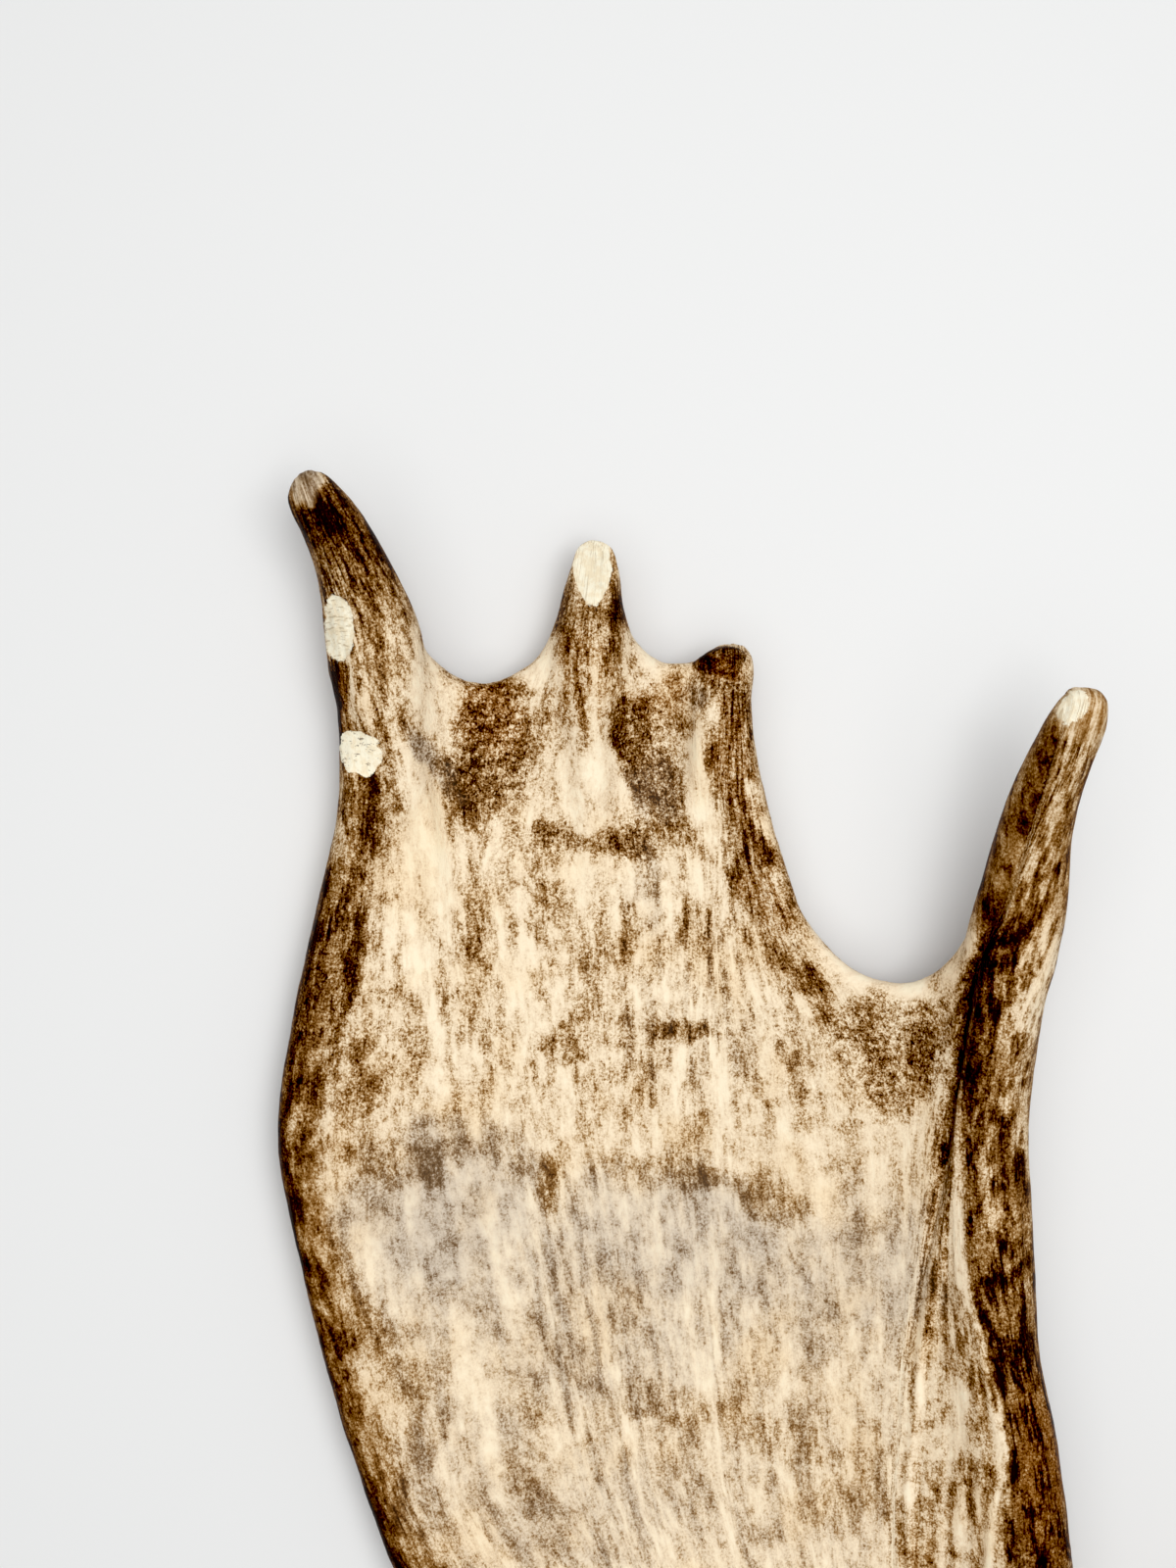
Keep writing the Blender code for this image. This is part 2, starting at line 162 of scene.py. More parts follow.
# granular places, speckled evenly and not along the grain: (x, y, half width, half length, turn, how much)
HOLLOWS = [
    (-146, 570, 26, 30, 0, 1.0), (-86, 565, 20, 34, 8, 1.0), (2, 462, 30, 26, 0, 1.0),
    (-122, 537, 24, 10, 0, 0.7), (-94, 539, 18, 9, 0, 0.7), (-60, 598, 22, 12, 0, 0.8),
]
# grey places: (x, y, half width, half length, turn, how grey)
GREYS = [
    (-160, 402, 50, 44, 0, 0.58), (-76, 392, 66, 40, -4, 0.52), (-10, 380, 40, 34, 0, 0.45),
    (-150, 312, 44, 40, 0, 0.35), (-110, 290, 60, 36, 0, 0.35), (-94, 350, 70, 36, 0, 0.40),
    (-84, 556, 13, 22, 14, 0.40), (-165, 568, 6, 24, 33, 0.55), (-70, 590, 8, 12, 0, 0.40),
    (-66, 470, 40, 40, 0, 0.20), (-88, 520, 14, 30, 0, 0.30),
]
# reddish places: (x, y, half width, half length, turn, how red)
WARMS = [
    (52, 315, 12, 44, 8, 0.6), (-60, 603, 13, 7, -12, 0.8), (-55, 565, 7, 38, 4, 0.4),
    (-46, 521, 8, 24, 20, 0.35), (-144, 582, 18, 16, 0, 0.5), (-84, 592, 16, 12, 0, 0.3),
    (64, 584, 14, 12, 0, 0.25), (-197, 584, 6, 17, 0, 0.6), (-111, 597, 14, 19, 0, 0.3),
]


# ---------------------------------------------------------------- small helpers
def smoothstep(a, b, x):
    """0 where x is at a or before it, 1 at b or past it, smooth between; a may be the larger."""
    t = np.clip((x - a) / (b - a), 0.0, 1.0)
    return t * t * (3.0 - 2.0 * t)


def hill(x, width):
    """A soft hill of height 1 at 0."""
    return np.exp(-(x / width) ** 2)


def new_object(name, mesh):
    ob = bpy.data.objects.new(name, mesh)
    bpy.context.scene.collection.objects.link(ob)
    return ob


def numbers(items, name, width=3):
    """One value of every vertex, edge, loop or face, as rows."""
    out = np.empty(len(items) * width)
    items.foreach_get(name, out)
    return out.reshape(-1, width)


class Field:
    """Smooth seeded noise from -1 to 1, by blending a random lattice."""

    def __init__(self, seed):
        self.table = np.random.RandomState(seed).rand(LATTICE, LATTICE, LATTICE)

    def __call__(self, points, size):
        q = points / size
        i = np.floor(q).astype(int)
        f = q - i
        f = f * f * (3 - 2 * f)
        out = 0.0
        for a, b, c in np.ndindex(2, 2, 2):
            weight = abs(1 - a - f[:, 0]) * abs(1 - b - f[:, 1]) * abs(1 - c - f[:, 2])
            corner = tuple(((i + (a, b, c)) % LATTICE).T)
            out = out + weight * self.table[corner]
        return out * 2.0 - 1.0


# ---------------------------------------------------------------- one skin for the whole bone
def grow_together():
    """All CAD nodes, swollen a little so that they meet, as one even skin of small cells."""
    bm = bmesh.new()
    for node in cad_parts.values():
        part = bmesh.new()
        part.from_mesh(node.data)
        part.transform(node.matrix_world)
        bmesh.ops.remove_doubles(part, verts=part.verts, dist=0.01 * MM)
        bmesh.ops.recalc_face_normals(part, faces=part.faces)
        part.normal_update()
        for v in part.verts:
            v.co += v.normal * (OVERLAP * MM)
        mesh = bpy.data.meshes.new("part")
        part.to_mesh(mesh)
        part.free()
        bm.from_mesh(mesh)
        bpy.data.meshes.remove(mesh)
    mesh = bpy.data.meshes.new("bone")
    bm.to_mesh(mesh)
    bm.free()
    ob = new_object("bone", mesh)
    grow = ob.modifiers.new("grow", "REMESH")
    grow.mode = "VOXEL"
    grow.voxel_size = VOXEL * MM
    bpy.context.view_layer.update()
    mesh = bpy.data.meshes.new_from_object(ob.evaluated_get(bpy.context.evaluated_depsgraph_get()))
    bpy.data.objects.remove(ob, do_unlink=True)
    return mesh


def relax(values, times, factor=0.5):
    """Moves each vertex's values towards its neighbours' mean."""
    v = values.copy()
    for k in range(times):
        v += factor * (np.add.reduceat(v[NEIGHBOURS], FIRST) / DEGREE - v)
    return v


def set_places(places):
    skin.vertices.foreach_set("co", (places * MM).ravel())
    skin.update()


skin = grow_together()
P = numbers(skin.vertices, "co") / MM
ends = numbers(skin.edges, "vertices", 2).astype(int)
ends = np.concatenate([ends, ends[:, ::-1]])
ends = ends[np.argsort(ends[:, 0], kind="stable")]
NEIGHBOURS = ends[:, 1]
FIRST = np.searchsorted(ends[:, 0], np.arange(len(P)))
DEGREE = np.bincount(ends[:, 0]).astype(float)[:, None]
for k in range(FAIRING):
    P = relax(P, 1, SHRINK)
    P = relax(P, 1, GROW)
set_places(P)
P -= numbers(skin.vertices, "normal") * OVERLAP
set_places(P)
N = numbers(skin.vertices, "normal")
FACING = relax(N, 10)[:, 2]          # above 0 on the dished face, below 0 on the back
print("skin", len(P), "vertices", len(skin.polygons), "faces")

# ---------------------------------------------------------------- where things are on the bone
X, Y = (P[:, :2] - PLAN_ORIGIN).T
Z = P[:, 2]
ON_FACE = smoothstep(-0.15, 0.35, N[:, 2])
ON_BACK = 1.0 - smoothstep(-0.45, 0.05, N[:, 2])
lump, patch, fibre = Field(11), Field(12), Field(13)


def line_at(points, y):
    """x of a line at y."""
    pts = np.array(points, float)
    return np.interp(y, pts[:, 1], pts[:, 0])


across = np.zeros(len(P))
for (line_a, place_a), (line_b, place_b) in zip(GRAIN, GRAIN[1:]):
    xa, xb = line_at(line_a, Y), line_at(line_b, Y)
    across += np.clip((X - xa) / np.maximum(xb - xa, 0.5), 0, 1) * (place_b - place_a)
from_rear = X - line_at(REAR_EDGE, Y)
from_front = line_at(FRONT_EDGE, Y) - X
from_groove = X - line_at(GROOVE, Y)
into_rim = X - line_at(RIM_EDGE, Y)
across += np.minimum(from_rear, 0) - np.minimum(from_front, 0)
along = Y.copy()

# the brow point has a grain of its own: where it leaves, its direction, and its place in the other grain
BROW_ROOT, BROW_AXIS, BROW_PLACE = np.array([40.0, 190.0]), np.array([0.82, 0.57]), (300.0, 190.0)
on_brow = smoothstep(54, 84, X) * smoothstep(292, 272, Y)
from_root = np.stack([X, Y], 1) - BROW_ROOT
brow_along = from_root @ BROW_AXIS
brow_across = from_root @ np.array([BROW_AXIS[1], -BROW_AXIS[0]])
across = across * (1 - on_brow) + (brow_across + BROW_PLACE[0]) * on_brow
along = along * (1 - on_brow) + (brow_along + BROW_PLACE[1]) * on_brow
# the seal, the rough end where the antler came off, takes no grain lines from the beam
seal = smoothstep(-3, -9, Y)
across = across * (1 - seal) + 1.2 * X * seal
GRAIN_PLACE = np.stack([across, along, Z], 1)


def along_grain(width, length, depth, seed=0.0):
    """Noise drawn out along the grain."""
    return fibre(GRAIN_PLACE / (width, length, depth) + seed, 1.0)


WOBBLE_X = lump(P, 15.0) + 0.5 * lump(P + 40, 6.0)
WOBBLE_Y = 1.5 * (patch(P, 15.0) + 0.5 * patch(P + 40, 6.0))


def ellipse(cx, cy, rx, ry, turn=0.0, wobble=0.0):
    """How far inside an ellipse on the plan: 1 at its middle, 0 at its edge."""
    c, s = math.cos(math.radians(turn)), math.sin(math.radians(turn))
    dx = X - cx + wobble * WOBBLE_X
    dy = Y - cy + wobble * WOBBLE_Y
    return 1.0 - np.sqrt(((c * dx + s * dy) / rx) ** 2 + ((c * dy - s * dx) / ry) ** 2)


def top_of(x, y):
    """The skin's highest place near (x, y) of the plan."""
    near = np.where((np.abs(X - x) < 1.5) & (np.abs(Y - y) < 1.5))[0]
    return P[near[np.argmax(Z[near])]].copy()


# ---------------------------------------------------------------- carving
on_beam = smoothstep(150, 90, Y)
rimness = np.maximum(smoothstep(42, 16, from_front), 0.7 * smoothstep(24, 8, from_rear))
rimness = np.maximum(rimness, np.maximum(on_beam, on_brow))
shape = 0.50 * lump(P, 30.0) + 0.28 * lump(P + 50, 12.0) + 0.10 * lump(P + 70, 5.0)
shape += 0.16 * along_grain(2.6, 30, 5)
shape += (0.16 + 0.42 * rimness + 0.35 * ON_BACK) * along_grain(5.5, 60, 9, 9.0)
shape += 0.18 * rimness * along_grain(2.4, 40, 4, 17.0)

for cx, cy, rx, ry, turn, height in RELIEF:
    shape += ON_FACE * height * smoothstep(0.0, 0.8, ellipse(cx, cy, rx, ry, turn))

# the groove beside the front rim, the ridge next to it and the folds below
reach = smoothstep(215, 300, Y) * smoothstep(535, 500, Y) * ON_FACE
groove_width = 1.2 + 0.9 * smoothstep(380, 450, Y)
groove = reach * smoothstep(330, 365, Y) * hill(from_groove, groove_width)
ridge = reach * hill(from_groove - 3.2 - 1.2 * smoothstep(430, 380, Y), 1.9)
shape += 1.0 * ridge - (1.1 + 0.9 * smoothstep(385, 435, Y)) * groove
FOLD_WIDTH = 2.7
fold_zone = smoothstep(120, 230, Y) * smoothstep(455, 425, Y) * ON_FACE
fold_zone = fold_zone * smoothstep(-14, 12, from_groove) * smoothstep(3, -6, into_rim)
fold_place = across + 1.1 * lump(P + 7, 40.0) + 0.4 * lump(P + 17, 14.0)
folds = fold_zone * np.sin(fold_place * 2 * math.pi / FOLD_WIDTH)
folds *= smoothstep(-0.7, 0.3, lump(P + 27, 24.0))
shape += 0.30 * folds + 0.5 * fold_zone * along_grain(1.6, 50, 6, 3.0)

# gutters of the beam, and its pearls, which crowd towards the burr
shape += on_beam * (1.0 * along_grain(7.0, 150, 7, 31.0))
pearly = smoothstep(130, 20, Y)
shape += pearly * 0.9 * smoothstep(0.25, 0.8, lump(P + 90, 4.2))
near_burr = smoothstep(24, 10, Y)
shape += near_burr * (1.1 * lump(P + 3, 6.5) + 0.6 * lump(P + 23, 3.6) - 1.0)

# the cap of the short point, swollen inside a shallow moat
cap = ellipse(*CAP)
on_cap = smoothstep(0.0, 0.12, cap) * ON_FACE
shape += ON_FACE * (0.9 * smoothstep(-0.05, 0.5, cap) - 0.7 * hill(cap * 4.4, 0.8))

wear = np.full(len(P), OUTSIDE)                      # mm inside a scar or flat, below 0 outside
marks = np.zeros((len(P), 3))                        # toothmarks across, scratches along, specks
for name, (cx, cy, rx, ry, turn, depth) in SCARS.items():
    inside = ellipse(cx, cy, rx, ry, turn, 0.7)
    on_top = N[:, 2] > -0.1
    ragged = 0.5 * lump(P + 33, 4.0) if name == "gnawed" else 2.4 * lump(P + 36, 3.6)
    wear = np.maximum(wear, np.where(on_top, inside * min(rx, ry) + ragged, OUTSIDE))
    marks[:, 0 if name == "gnawed" else 2] += (inside > -1.0) * 1.0
    shape -= depth * smoothstep(-0.05, 0.18, inside) * smoothstep(-0.1, 0.3, N[:, 2])
    shape += 0.25 * hill((inside + 0.08) * 8, 0.8) * on_top
flat_starts = {name: top_of(*place) for name, (place, *_) in FLATS.items()}
P = P + N * shape[:, None]

for name, (place, facing, flat_reach, past) in FLATS.items():
    n = np.array(facing, float)
    n /= np.linalg.norm(n)
    start = flat_starts[name]
    if name == "front":
        tip = P[np.linalg.norm(P - start, axis=1) < flat_reach]
        start = tip[np.argmax(tip @ n)] - n * FRONT_DEPTH
    away = P - start
    over = away @ n + 0.30 * lump(P + 31, 3.2) + 0.5 * lump(P + 61, 9.0)
    near = np.linalg.norm(away, axis=1) < flat_reach
    bare = over + past
    if name == "middle":
        bare = np.minimum(bare, line_at(TEARDROP, Y) - np.abs(X - place[0]))
    wear = np.maximum(wear, np.where(near, bare, OUTSIDE))
    marks[near, 1] = 1.0
    P = P - n * np.where(near, np.maximum(over, 0.0), 0.0)[:, None]
for x, y, nudge_reach, dx, dy in NUDGES:
    pull = hill(np.hypot(X - x, Y - y), nudge_reach)
    P[:, :2] += pull[:, None] * np.array([dx, dy])
P[:, 2] = np.maximum(P[:, 2], 0.0)                   # worn flat where it rests

# ---------------------------------------------------------------- tone: 0 is cream, 1 the darkest brown
tone = 0.10 + 0.04 * patch(P, 60.0)
rear_side = smoothstep(620, 596, Y)
rear_rim = 0.34 * smoothstep(20, 8, from_rear) + 0.22 * smoothstep(6, 2, from_rear)
tone += rear_side * rear_rim * (1 - 0.2 * smoothstep(480, 530, Y))
tone += (0.08 + 0.12 * smoothstep(490, 450, Y)) * smoothstep(36, 12, from_rear)
from_bay = line_at(BAY_EDGE, Y) - X
# painted highlight: a paler strip along the bay's edge stands in for light catching the rim there
painted_bay_highlight = 0.14 * smoothstep(5, 1, from_bay) * (from_bay > -8)
tone -= painted_bay_highlight * smoothstep(470, 490, Y) * smoothstep(600, 580, Y)
front_rim = smoothstep(-2.0, 1.5, into_rim) * smoothstep(535, 505, Y)
dark_reach = 12 + 12 * smoothstep(470, 440, Y)
dark_side = smoothstep(-2.0, 1.5, into_rim) * smoothstep(3, -3, into_rim - dark_reach)
tone = np.maximum(tone, (0.58 + 0.20 * dark_side + 0.06 * smoothstep(350, 320, Y)) * front_rim)
tone += (0.18 + 0.20 * smoothstep(300, 370, Y)) * fold_zone
beside_rim = 0.15 * hill(into_rim + 3.0, 4.5) * smoothstep(200, 240, Y) * smoothstep(370, 340, Y)
tone += beside_rim * ON_FACE * (into_rim < 0)
rim_blobs = (0.34 * along_grain(5, 15, 8, 47.0) - 0.05) * front_rim
tone += rim_blobs * smoothstep(360, 400, Y) * smoothstep(4, 11, into_rim)
rear_point = smoothstep(582, 640, Y) * smoothstep(-148, -166, X)
tone = np.maximum(tone, 0.29 + 0.445 * rear_point)
front_point = smoothstep(490, 520, Y) * smoothstep(8, 20, X)
front_tone = 0.58 + 0.16 * smoothstep(-2, -7, into_rim) + 0.10 * smoothstep(4, 14, into_rim)
tone = np.maximum(tone, front_tone * front_point)
tone = np.maximum(tone, 0.29 + 0.36 * smoothstep(230, 110, Y))
tone = np.maximum(tone, 0.66 * on_brow)
# the back, which faces the floor, is made dark brown: partly the bone's stain, partly painted shade of the
# underside
tone = np.maximum(tone, ON_BACK * (0.60 + 0.06 * patch(P + 9, 45.0)))
middle_point = smoothstep(604, 620, Y) * smoothstep(18, 14, np.abs(X + 107))
tone = np.maximum(tone, 0.52 * middle_point)


def soft_spot(place, wider, amount):
    """An amount that fades out towards the edge of a ragged ellipse on the dished face."""
    cx, cy, rx, ry, turn = place
    inside = ellipse(cx, cy, rx * wider, ry * wider, turn, EDGE_WOBBLE)
    return amount * smoothstep(0.0, SOFT_EDGE, inside) * ON_FACE


for *place, darker in STAINS:
    tone += soft_spot(place, STAIN_SPREAD, darker)
# the groove is darkened: partly brown stain, partly painted shade in the crease
tone += (0.22 + 0.46 * smoothstep(400, 445, Y)) * groove
# painted shade: the wall and ridge on the rim's side of the groove are darkened as if shaded
tone += 0.32 * ridge * smoothstep(510, 480, Y) * smoothstep(350, 390, Y)
# painted light and shade on the folds: their crests are made paler and their troughs darker; the grain noise
# pales them at random
tone -= 0.12 * folds + 0.28 * fold_zone * along_grain(1.6, 26, 6, 3.0)
from_rear_tip = np.linalg.norm(P - top_of(*REAR_TIP), axis=1) + 2.0 * lump(P, 7.0) + 2.0 * lump(P + 5, 3.0)
on_rear_tip = smoothstep(9, 6.5, from_rear_tip)
tone += (0.42 - tone) * on_rear_tip
from_front_tip = np.linalg.norm(P - top_of(*FRONT_TIP), axis=1) + 2.0 * lump(P, 7.0)
tone += (0.45 - tone) * smoothstep(14.5, 10.5, from_front_tip)
tone += (0.79 - tone) * on_cap
tone += (0.36 - tone) * seal


def blots(table):
    """The strongest of a table's soft spots at every place."""
    out = np.zeros(len(P))
    for *place, amount in table:
        out = np.maximum(out, soft_spot(place, TINT_SPREAD, amount))
    return out


# tints: grey, red, and how calm the streaks are; textures: streaky, granular, and smooth on the worn tips
grey = blots(GREYS)
grey = np.maximum(grey, 0.5 * on_rear_tip)
lower_palm = (0.24 + 0.22 * smoothstep(330, 390, Y)) * smoothstep(440, 380, Y)
lower_palm = lower_palm * smoothstep(6, -6, from_groove) * smoothstep(10, 30, from_rear) * ON_FACE
grey = np.maximum(grey, lower_palm)
red = np.maximum(blots(WARMS), 0.25 * ON_BACK)
streaky = np.maximum(0.25, np.maximum(rimness, np.maximum(front_point, rear_point * 0.8)))
streaky = np.maximum(streaky, np.maximum(0.6 * ON_BACK, 0.6 * fold_zone)) * (1 - seal)
granular = np.maximum(np.clip(blots(HOLLOWS), 0, 1), 0.9 * seal)
calm = smoothstep(460, 410, Y) * smoothstep(-2, -6, from_groove) * ON_FACE
tips = np.maximum(on_rear_tip, smoothstep(13.5, 10.5, from_front_tip))
calm = np.maximum(calm, np.maximum(tips, front_point))
streaky = streaky * (1 - 0.8 * tips)
tone = np.clip(tone + 0.07 * granular, 0.0, 1.1)

# ---------------------------------------------------------------- bone material
# tones from cream to nearly black brown: (tone, red, green, blue)
TONES = [(0.00, 253, 240, 211), (0.15, 246, 227, 196), (0.30, 230, 208, 176), (0.42, 204, 176, 137),
         (0.55, 161, 123, 74), (0.68, 124, 83, 36), (0.80, 87, 49, 15), (0.90, 54, 20, 4), (1.00, 24, 6, 1)]


def srgb(r, g, b):
    """A colour given in 8-bit sRGB, as the shader's linear colour."""
    channels = (r / 255, g / 255, b / 255)
    return tuple((c / 12.92 if c <= 0.04 else ((c + 0.055) / 1.055) ** 2.4) for c in channels) + (1.0,)


def bone_material(name):
    mat = bpy.data.materials.new(name)
    mat.use_nodes = True
    tree = mat.node_tree
    bsdf = tree.nodes["Principled BSDF"]

    def node(kind, **values):
        n = tree.nodes.new(kind)
        for key, v in values.items():
            setattr(n, key, v)
        return n

    def attribute(word, socket):
        return node("ShaderNodeAttribute", attribute_name=word).outputs[socket]

    def plug(a, socket):
        if isinstance(a, (int, float, tuple)):
            socket.default_value = a
        else:
            tree.links.new(a, socket)

    def maths(op, a, b=0.0, c=0.0):
        n = node("ShaderNodeMath", operation=op)
        for value, socket in zip((a, b, c), n.inputs):
            plug(value, socket)
        return n.outputs[0]

    def stretched(vector, size, seed):
        m = node("ShaderNodeMapping")
        plug(vector, m.inputs["Vector"])
        m.inputs["Scale"].default_value = tuple(1.0 / s for s in size)
        m.inputs["Location"].default_value = (seed * 3.1, seed * 7.7, seed * 1.3)
        return m.outputs[0]

    def noise(vector, size, seed, detail=2.0, rough=0.6):
        """Noise around 0, from about -0.5 to 0.5, with features of the given size in mm."""
        n = node("ShaderNodeTexNoise")
        plug(stretched(vector, size, seed), n.inputs["Vector"])
        n.inputs["Scale"].default_value = 1.0
        n.inputs["Detail"].default_value = detail
        n.inputs["Roughness"].default_value = rough
        return maths("SUBTRACT", n.outputs["Fac"], 0.5)

    def step(value, low, high, a=0.0, b=1.0):
        """From a to b, smoothly, as value goes from low to high."""
        n = node("ShaderNodeMapRange", interpolation_type="SMOOTHSTEP")
        for v, socket in zip((value, low, high, a, b), n.inputs):
            plug(v, socket)
        return n.outputs["Result"]

    def mix(fac, a, b, blend="MIX"):
        """Colour b over colour a; sockets 6, 7 and 2 are the node's colour sockets."""
        n = node("ShaderNodeMix", data_type="RGBA", blend_type=blend)
        plug(fac, n.inputs[0])
        plug(a, n.inputs[6])
        plug(b, n.inputs[7])
        return n.outputs[2]

    def weigh(*terms):
        """The sum of value x gain."""
        total = 0.0
        for value, gain in terms:
            total = maths("MULTIPLY_ADD", value, gain, total)
        return total

    grain, place = attribute("grain", "Vector"), attribute("place", "Vector")
    tone_at, wear_at = attribute("tone", "Fac"), attribute("wear", "Fac")
    tint = node("ShaderNodeSeparateXYZ")
    plug(attribute("tint", "Vector"), tint.inputs[0])
    grey_at, red_at, calm_at = tint.outputs
    kind = node("ShaderNodeSeparateXYZ")
    plug(attribute("texture", "Vector"), kind.inputs[0])
    streaky_at, granular_at, tip_at = kind.outputs
    split = node("ShaderNodeSeparateXYZ")
    plug(attribute("marks", "Vector"), split.inputs[0])
    toothmarks, scratches, specks = split.outputs

    # noise along the grain or by place alone: its size in mm across, along and through the bone, seed,
    # detail and roughness
    column = noise(grain, (7.0, 60, 12), 11, 2.0, 0.5)
    clump = noise(grain, (5.0, 11, 8), 1, 4.0, 0.62)
    streak = noise(grain, (1.7, 4.2, 2.4), 2, 3.0, 0.62)
    long_streak = noise(grain, (2.0, 15, 4), 3, 3.0, 0.65)
    grit = noise(place, (0.8, 0.9, 0.8), 4, 3.0, 0.75)
    cloud = noise(place, (2.6, 2.6, 2.6), 5, 4.0, 0.7)
    hair = noise(grain, (0.5, 10, 1.0), 6, 2.0, 0.5)
    wash = noise(place, (22, 30, 22), 7, 2.0, 0.5)

    # the tone, broken up along the grain and then by fine specks
    lively = maths("MULTIPLY_ADD", calm_at, -0.25, 1.0)
    along = weigh((column, 0.90), (clump, 1.02), (streak, 0.58))
    along = maths("MULTIPLY_ADD", maths("MULTIPLY", clump, streaky_at), 0.35, along)
    along = maths("MULTIPLY", along, maths("MULTIPLY_ADD", granular_at, -0.55, 1.0))
    broad = weigh((along, 1.0), (wash, 0.30), (maths("MULTIPLY", long_streak, streaky_at), 1.35))
    amount = maths("MULTIPLY", step(tone_at, 0.10, 0.60, 0.85, 1.20), lively)
    value = maths("MULTIPLY_ADD", broad, amount, tone_at)
    lightest = maths("MULTIPLY_ADD", tone_at, 1.15, maths("MULTIPLY_ADD", granular_at, 0.08, -0.29))
    value = maths("SMOOTH_MAX", value, lightest, 0.08)
    clouds = maths("MULTIPLY", cloud, maths("MULTIPLY_ADD", granular_at, 0.4, 0.4))
    fine = weigh((grit, 1.0), (clouds, 1.0), (hair, 0.20))
    gain = step(value, 0.05, 0.45, 0.28, 1.85)
    gain = maths("MULTIPLY", gain, maths("MULTIPLY_ADD", granular_at, 0.15, lively))
    gain = maths("MULTIPLY", gain, weigh((streaky_at, -0.28), (tip_at, -0.55), (1.0, 1.0)))
    value = maths("MULTIPLY_ADD", fine, gain, value)

    # its colour, with grey, pale and rusty washes over it
    ramp = node("ShaderNodeValToRGB")
    stops = ramp.color_ramp.elements
    while len(stops) < len(TONES):
        stops.new(1.0)
    for stop, (at, r, g, b) in zip(stops, TONES):
        stop.position = at
        stop.color = srgb(r, g, b)
    plug(value, ramp.inputs[0])
    colour = ramp.outputs["Color"]
    grey_wash = step(weigh((grey_at, 1.0), (column, 0.8), (clump, 0.6)), 0.10, 0.75, 0.0, 0.68)
    lilac = mix(step(value, 0.10, 0.70), srgb(195, 185, 174), srgb(98, 80, 60))
    colour = mix(grey_wash, colour, lilac)
    colour = mix(step(wash, -0.05, 0.18, 0.0, 0.5), colour, srgb(252, 244, 230), "MULTIPLY")
    rusty = maths("MULTIPLY", red_at, step(value, 0.25, 0.7))
    colour = mix(rusty, colour, srgb(255, 220, 158), "MULTIPLY")

    # bare bone in the scars and flats, with its toothmarks, scratches and specks
    cloudy = step(weigh((cloud, 1.0), (clump, 0.6)), -0.12, 0.12)
    pale = mix(cloudy, srgb(246, 231, 199), srgb(255, 247, 222))
    tooth_line = noise(grain, (8, 0.9, 8), 8, 2.0, 0.5)
    scratch_line = noise(grain, (0.9, 16, 3), 9, 2.0, 0.5)
    dark_speck = noise(place, (3.0, 1.7, 2.0), 10, 4.0, 0.7)
    tooth_line = maths("MULTIPLY", tooth_line, toothmarks)
    scratch_line = maths("MULTIPLY", scratch_line, scratches)
    lines = weigh((tooth_line, 1.0), (scratch_line, 1.0))
    pale = mix(step(lines, 0.07, 0.16, 0.0, 0.60), pale, srgb(180, 158, 124))
    dark_speck = maths("MULTIPLY", step(dark_speck, 0.08, 0.13, 0.0, 0.8), specks)
    pale = mix(dark_speck, pale, srgb(112, 96, 80))
    bare = step(weigh((wear_at, 1.0), (grit, 1.2), (cloud, 2.5)), -0.15, 0.20)
    colour = mix(bare, colour, pale)
    plug(colour, bsdf.inputs["Base Color"])
    plug(step(value, 0.3, 1.0, 0.58, 0.44), bsdf.inputs["Roughness"])
    bsdf.inputs["Specular IOR Level"].default_value = 0.03

    height = weigh((streak, 0.8), (grit, 0.7), (hair, 0.6), (maths("MULTIPLY", lines, bare), 1.6),
                   (maths("MULTIPLY", long_streak, streaky_at), 0.8))
    bump = node("ShaderNodeBump")
    bump.inputs["Strength"].default_value = 0.55
    bump.inputs["Distance"].default_value = 0.5 * MM
    plug(height, bump.inputs["Height"])
    plug(bump.outputs["Normal"], bsdf.inputs["Normal"])
    return mat


# ---------------------------------------------------------------- the pieces
def cut_of(node):
    """The flat cut where a CAD branch leaves the palm: its middle, and the way into the branch."""
    world = np.array(node.matrix_world)
    centres = numbers(node.data.polygons, "center") @ world[:3, :3].T + world[:3, 3]
    facing = numbers(node.data.polygons, "normal") @ world[:3, :3].T
    areas = numbers(node.data.polygons, "area", 1)[:, 0]
    index = np.unique(facing.round(2), axis=0, return_inverse=True)[1].ravel()
    flat = index == np.argmax(np.bincount(index, areas))
    return np.average(centres[flat], axis=0, weights=areas[flat]) / MM, -facing[flat].mean(0)


set_places(P)
corners = numbers(skin.loops, "vertex_index", 1).astype(int)[:, 0].reshape(-1, 4)
middles = P[corners].mean(1)
owner = np.zeros(len(corners), dtype=int)             # 0 is the palm's face, 1 its back
owner[FACING[corners].mean(1) < 0] = 1
PIECES = [("palm_face", "palm"), ("palm_back", "palm")]
for name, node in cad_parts.items():
    if name == "palm":
        continue
    middle, inwards = cut_of(node)
    box = np.array([node.matrix_world @ Vector(c) for c in node.bound_box]) / MM
    beyond_cut = (middles - middle) @ inwards > 0
    in_box = ((middles > box.min(0) - BRANCH_ROOM) & (middles < box.max(0) + BRANCH_ROOM)).all(1)
    owner[beyond_cut & in_box] = len(PIECES)
    PIECES.append((name + "_skin", name))

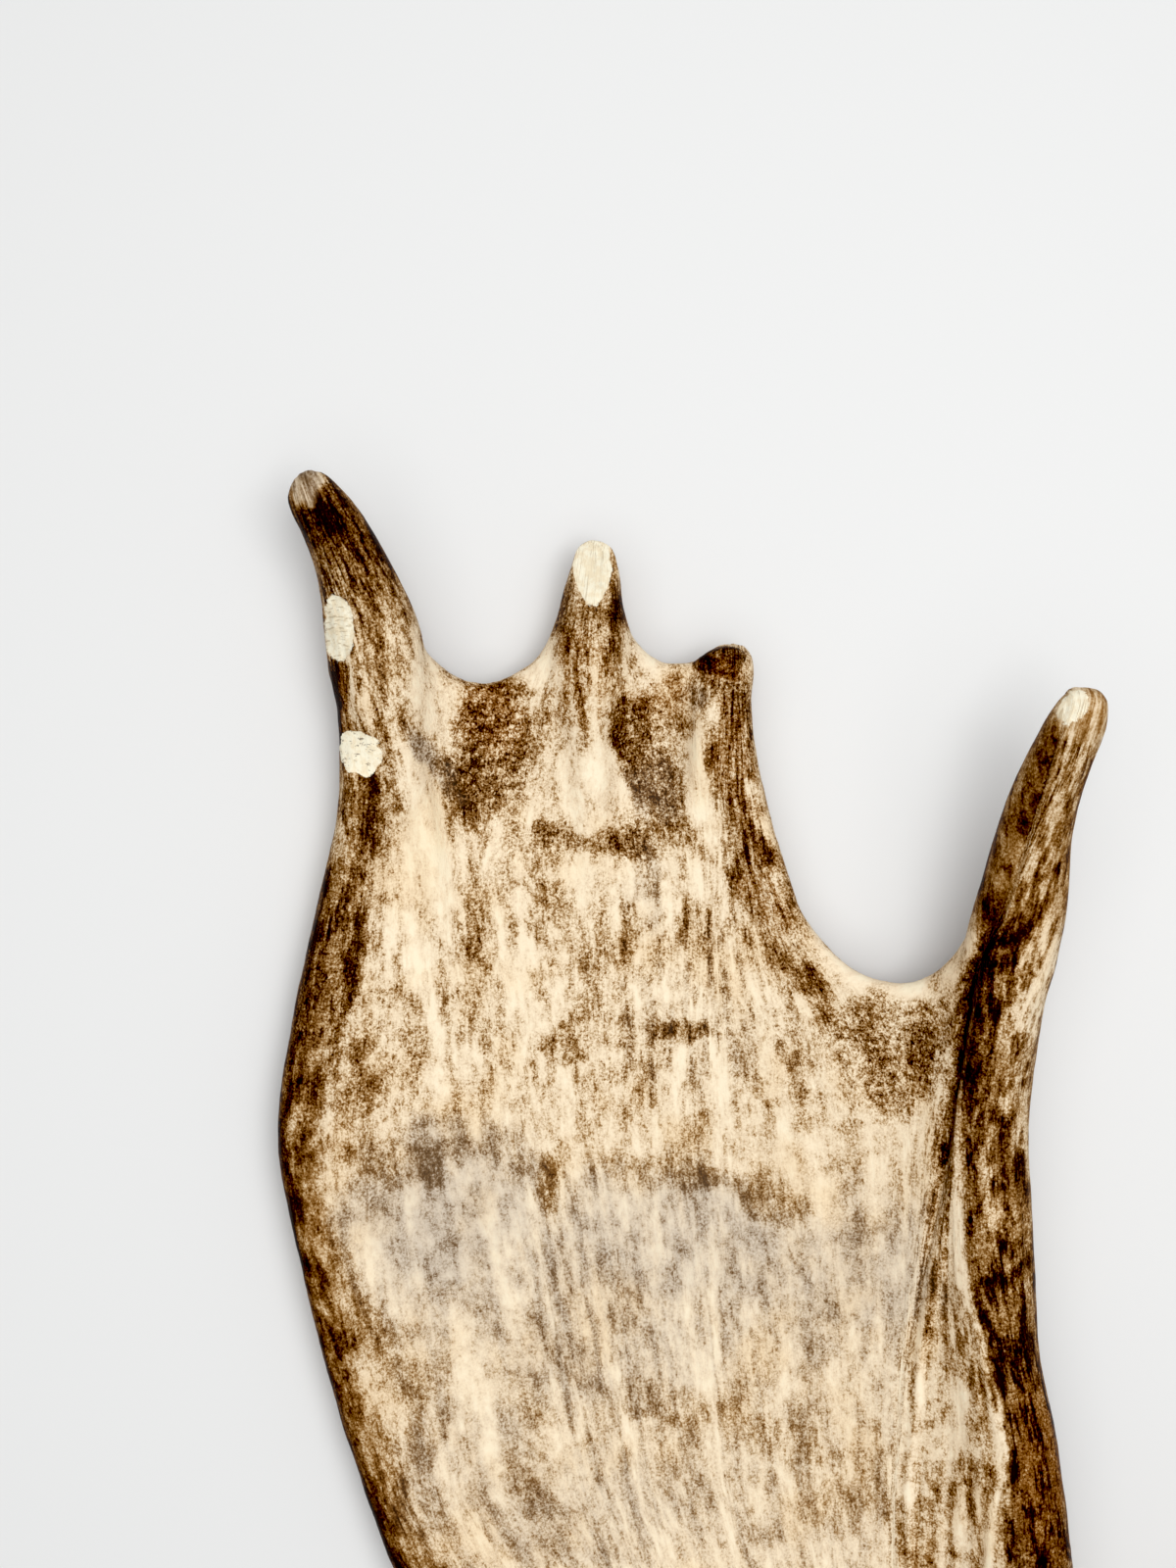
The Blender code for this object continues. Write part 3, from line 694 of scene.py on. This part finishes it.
bone = bone_material("antler bone")
normals = numbers(skin.vertices, "normal")
VALUES = {"grain": GRAIN_PLACE, "place": P, "tone": tone, "wear": wear, "marks": marks,
          "tint": np.stack([grey, red, calm], 1), "texture": np.stack([streaky, granular, tips], 1)}
for k, (piece, node_name) in enumerate(PIECES):
    quads = corners[owner == k]
    used, index = np.unique(quads, return_inverse=True)
    mesh = bpy.data.meshes.new(piece)
    mesh.from_pydata((P[used] * MM).tolist(), [], index.reshape(-1, 4).tolist())
    for word, values in VALUES.items():
        kind, key = ("FLOAT_VECTOR", "vector") if values.ndim == 2 else ("FLOAT", "value")
        data = mesh.attributes.new(word, kind, "POINT").data
        data.foreach_set(key, values[used].astype(np.float32).ravel())
    mesh.shade_smooth()
    mesh.normals_split_custom_set_from_vertices(normals[used].tolist())
    mesh.materials.append(bone)
    ob = new_object(piece, mesh)
    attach(ob, "root")
    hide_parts(node_name)
    print(piece, len(quads), "quads")
bpy.data.meshes.remove(skin)

# ---------------------------------------------------------------- floor, light and camera
CAMERA_PLACE = (-76.5, 231.8, 894.0)      # mm; it looks straight down
LENS, SENSOR = 55.0, 36.0                 # mm
FLOOR_REACH = 40.0                        # metres each way
FLOOR_COLOUR = (0.82, 0.825, 0.82, 1)
FLOOR_ROUGHNESS = 0.8
WINDOW = dict(place=(0.10, 0.31, 1.25), aim=(-0.03, 0.15, 0.0), side=0.55, power=7.8)   # metres, watts
DIFFUSER_STRENGTH, DIFFUSER_ANGLE = 1.12, 70
ROOM_COLOUR = (0.99, 0.99, 1.0, 1)
ROOM_LIGHT, ROOM_SEEN = 0.27, 0.52        # the room's strength as light, and as the backdrop
BLACK_LEVEL = 0.011


def floor():
    bm = bmesh.new()
    bmesh.ops.create_grid(bm, x_segments=1, y_segments=1, size=FLOOR_REACH)
    mesh = bpy.data.meshes.new("floor")
    bm.to_mesh(mesh)
    bm.free()
    mat = bpy.data.materials.new("floor")
    mat.use_nodes = True
    bsdf = mat.node_tree.nodes["Principled BSDF"]
    bsdf.inputs["Base Color"].default_value = FLOOR_COLOUR
    bsdf.inputs["Roughness"].default_value = FLOOR_ROUGHNESS
    bsdf.inputs["Specular IOR Level"].default_value = 0.0
    mesh.materials.append(mat)
    new_object("floor", mesh)


def area_light(name, place, aim, side, power):
    data = bpy.data.lights.new(name, "AREA")
    data.size = side
    data.energy = power
    ob = bpy.data.objects.new(name, data)
    ob.location = place
    ob.rotation_euler = (Vector(aim) - Vector(place)).to_track_quat("-Z", "Y").to_euler()
    bpy.context.scene.collection.objects.link(ob)


floor()
area_light("window", **WINDOW)
sky = bpy.data.lights.new("diffuser", "SUN")
sky.energy = DIFFUSER_STRENGTH
sky.angle = math.radians(DIFFUSER_ANGLE)
bpy.context.scene.collection.objects.link(bpy.data.objects.new("diffuser", sky))
# the backdrop is seen as bright as the far floor, and lights the bone at a lower strength
world = bpy.data.worlds.new("room")
world.use_nodes = True
room = world.node_tree
seen = room.nodes.new("ShaderNodeLightPath").outputs["Is Camera Ray"]
strength = room.nodes.new("ShaderNodeMapRange")
room.links.new(seen, strength.inputs["Value"])
strength.inputs["To Min"].default_value = ROOM_LIGHT
strength.inputs["To Max"].default_value = ROOM_SEEN
background = room.nodes["Background"]
background.inputs["Color"].default_value = ROOM_COLOUR
room.links.new(strength.outputs["Result"], background.inputs["Strength"])
scene = bpy.context.scene
scene.world = world
scene.view_settings.view_transform = "Standard"
scene.view_settings.use_curve_mapping = True
scene.view_settings.curve_mapping.black_level = (BLACK_LEVEL,) * 3
scene.view_settings.curve_mapping.update()

cam_data = bpy.data.cameras.new("camera")
cam_data.lens = LENS
cam_data.sensor_width = SENSOR
camera = bpy.data.objects.new("camera", cam_data)
camera.location = [c * MM for c in CAMERA_PLACE]
scene.collection.objects.link(camera)
scene.camera = camera
